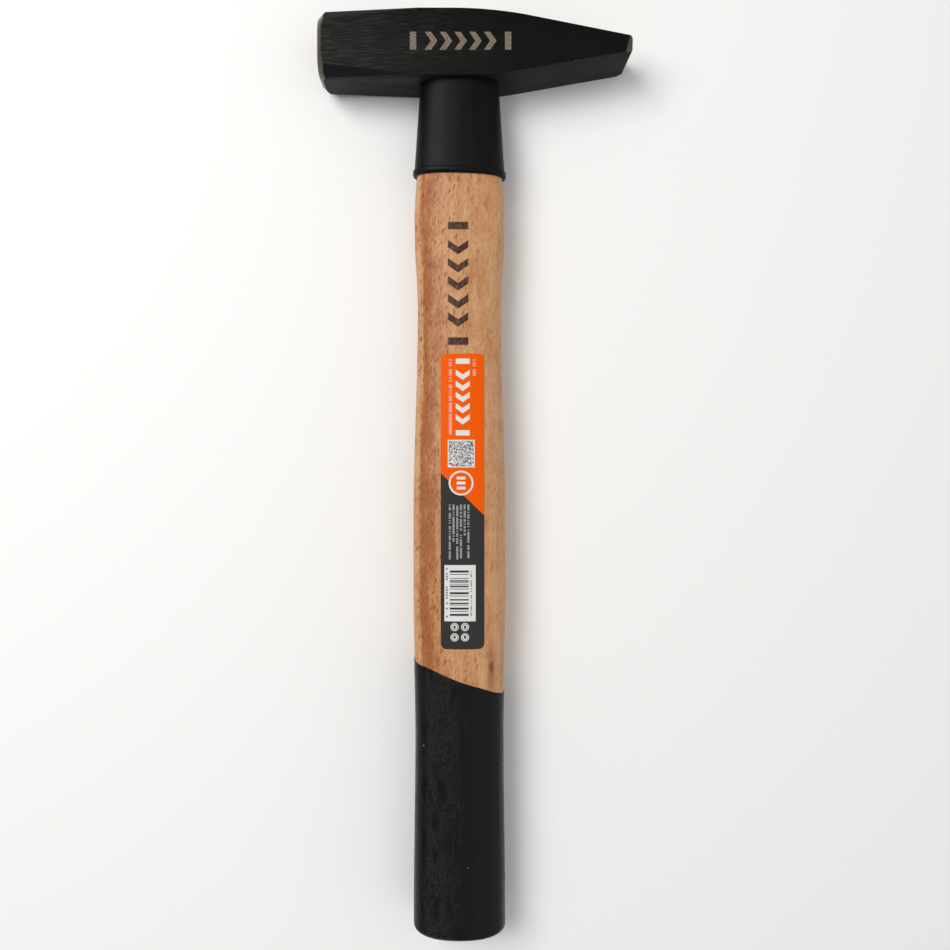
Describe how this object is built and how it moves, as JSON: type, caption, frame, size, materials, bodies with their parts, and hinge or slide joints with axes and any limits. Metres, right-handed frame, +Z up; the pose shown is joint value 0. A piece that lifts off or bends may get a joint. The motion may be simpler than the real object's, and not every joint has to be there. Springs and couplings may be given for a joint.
{
  "type": "cross peen hammer",
  "caption": "Light bench hammer with a square striking face, a cross peen, an oval wooden handle, a black neck sleeve and a dipped black grip.",
  "frame": {"origin": "centre of the footprint, on the surface that the hammer lies on", "axes": "the hammer lies on one cheek: +Y along the handle from the butt to the head, +X along the head from the striking face to the peen, +Z up from the lower cheek to the upper one"},
  "size_m": [0.095, 0.281, 0.0195],
  "materials": {
    "head_steel": "black lacquer on forged steel, with the striking face and top ground bright",
    "handle_wood": "waxed beech",
    "wedge_steel": "ground flush",
    "sleeve": "matt black moulded plastic",
    "grip_coat": "satin black dipped lacquer",
    "label": "printed film, orange above and dark grey below"
  },
  "bodies": {
    "root": {"hammer_head": "head_steel", "handle": "handle_wood", "ring_wedge": "wedge_steel", "neck_sleeve": "sleeve", "grip_coating": "grip_coat", "label": "label"}
  },
  "joints": []
}
